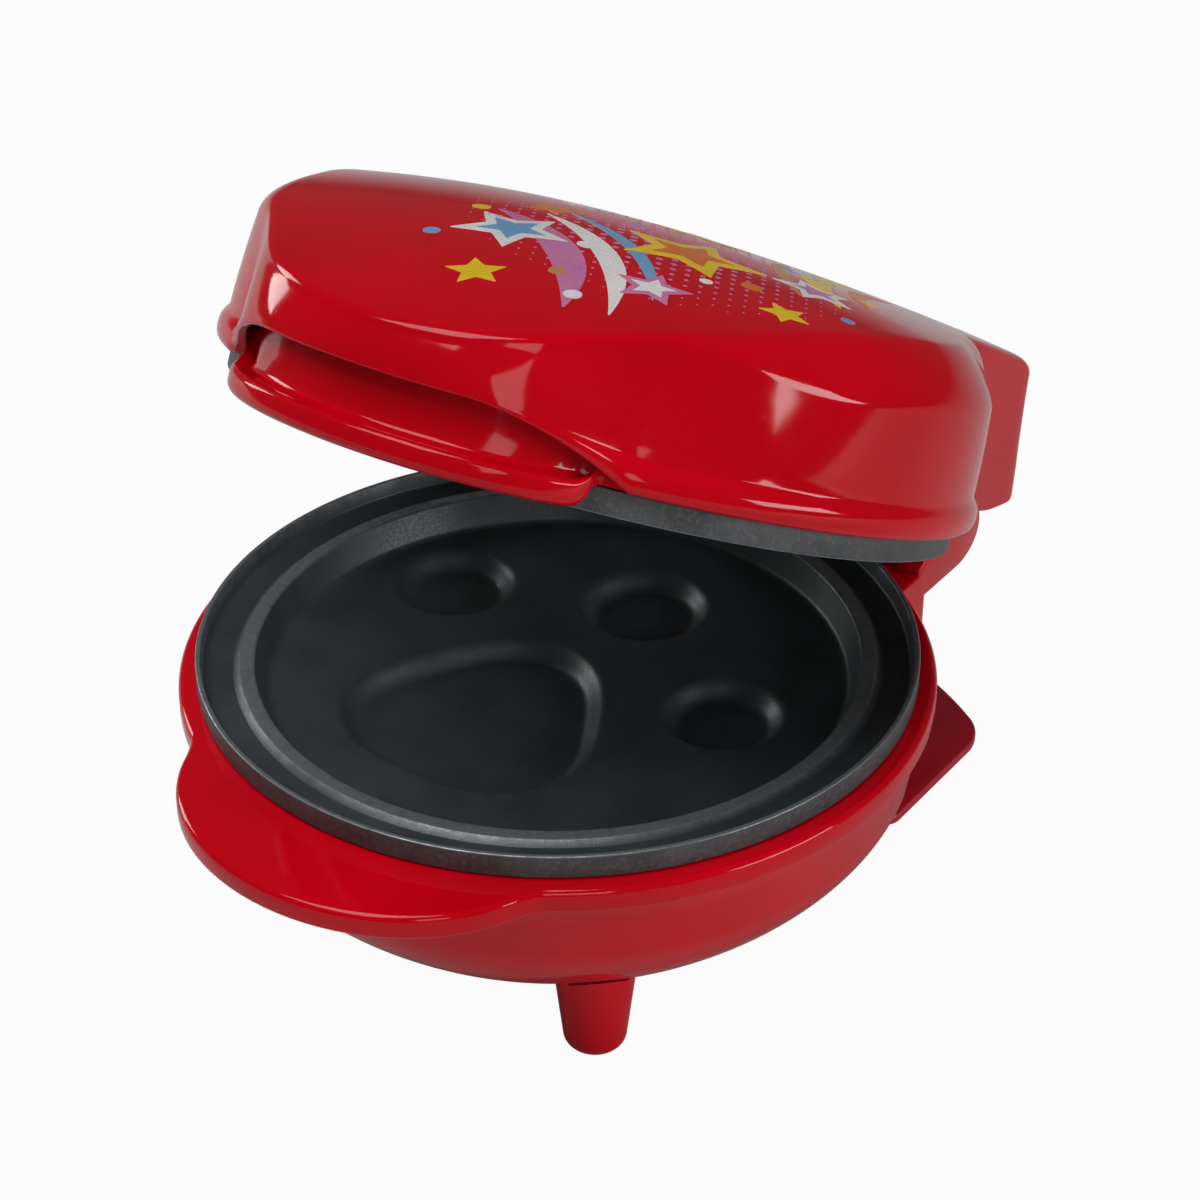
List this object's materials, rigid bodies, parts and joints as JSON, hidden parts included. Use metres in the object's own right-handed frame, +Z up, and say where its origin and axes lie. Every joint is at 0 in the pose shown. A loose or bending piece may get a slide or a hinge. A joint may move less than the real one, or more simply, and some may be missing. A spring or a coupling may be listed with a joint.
{
  "type": "mini waffle maker",
  "caption": "Small round red waffle maker with a hinged lid standing open, non-stick cooking plates with a paw relief, a front handle lobe and tapered feet.",
  "frame": {"origin": "on the floor, under the middle of the appliance's bounding box with the lid standing open as in the picture", "axes": "+Z up, -Y to the front handle, +X to the appliance's left-hand side seen from behind (the right of someone who faces its front)"},
  "size_m": [0.1526, 0.198, 0.1594],
  "materials": {
    "red_gloss_plastic": "glossy moulded plastic, red",
    "red_satin_plastic": "satin moulded plastic, red",
    "non_stick_plate": "die-cast, dark non-stick coating, satin",
    "bright_steel": "zinc-plated",
    "heater_sheath": "oxidised steel sheath",
    "aluminised_sheet": "pressed sheet, dull silver",
    "white_ceramic": "off-white ceramic, matt",
    "black_rubber": "black, matt",
    "glass_fibre_sleeve": "woven sleeve, cream"
  },
  "bodies": {
    "base": {"lower_casing": "red_gloss_plastic", "base_plate": "red_satin_plastic", "foot_front_left": "red_gloss_plastic", "foot_front_right": "red_gloss_plastic", "foot_back_left": "red_gloss_plastic", "foot_back_right": "red_gloss_plastic", "lower_plate": "non_stick_plate", "lower_element": "heater_sheath", "lower_reflector": "aluminised_sheet", "thermostat": "white_ceramic", "thermal_fuse": "glass_fibre_sleeve", "terminal_block": "white_ceramic", "cord_gland": "black_rubber", "base_screw_1": "bright_steel", "base_screw_2": "bright_steel", "base_screw_3": "bright_steel", "hinge_pin_left": "bright_steel", "hinge_pin_right": "bright_steel", "element_lead_left": "glass_fibre_sleeve", "element_lead_right": "glass_fibre_sleeve", "supply_lead_left": "black_rubber", "supply_lead_right": "black_rubber", "base_hinge_lead": "black_rubber"},
    "lid": {"lid_housing": "red_gloss_plastic", "lid_cover": "red_gloss_plastic", "upper_plate": "non_stick_plate", "upper_element": "heater_sheath", "upper_reflector": "aluminised_sheet", "upper_plate_screw_1": "bright_steel", "upper_plate_screw_2": "bright_steel", "upper_plate_screw_3": "bright_steel", "cover_screw_1": "bright_steel", "cover_screw_2": "bright_steel", "lid_hinge_lead": "black_rubber"}
  },
  "joints": [
    {"name": "lid_hinge", "type": "hinge", "parent": "base", "child": "lid", "pos_m": [0, 0.0802, 0.057], "axis": [-1, 0, 0], "range_deg": [-25.6, 69.4]}
  ]
}
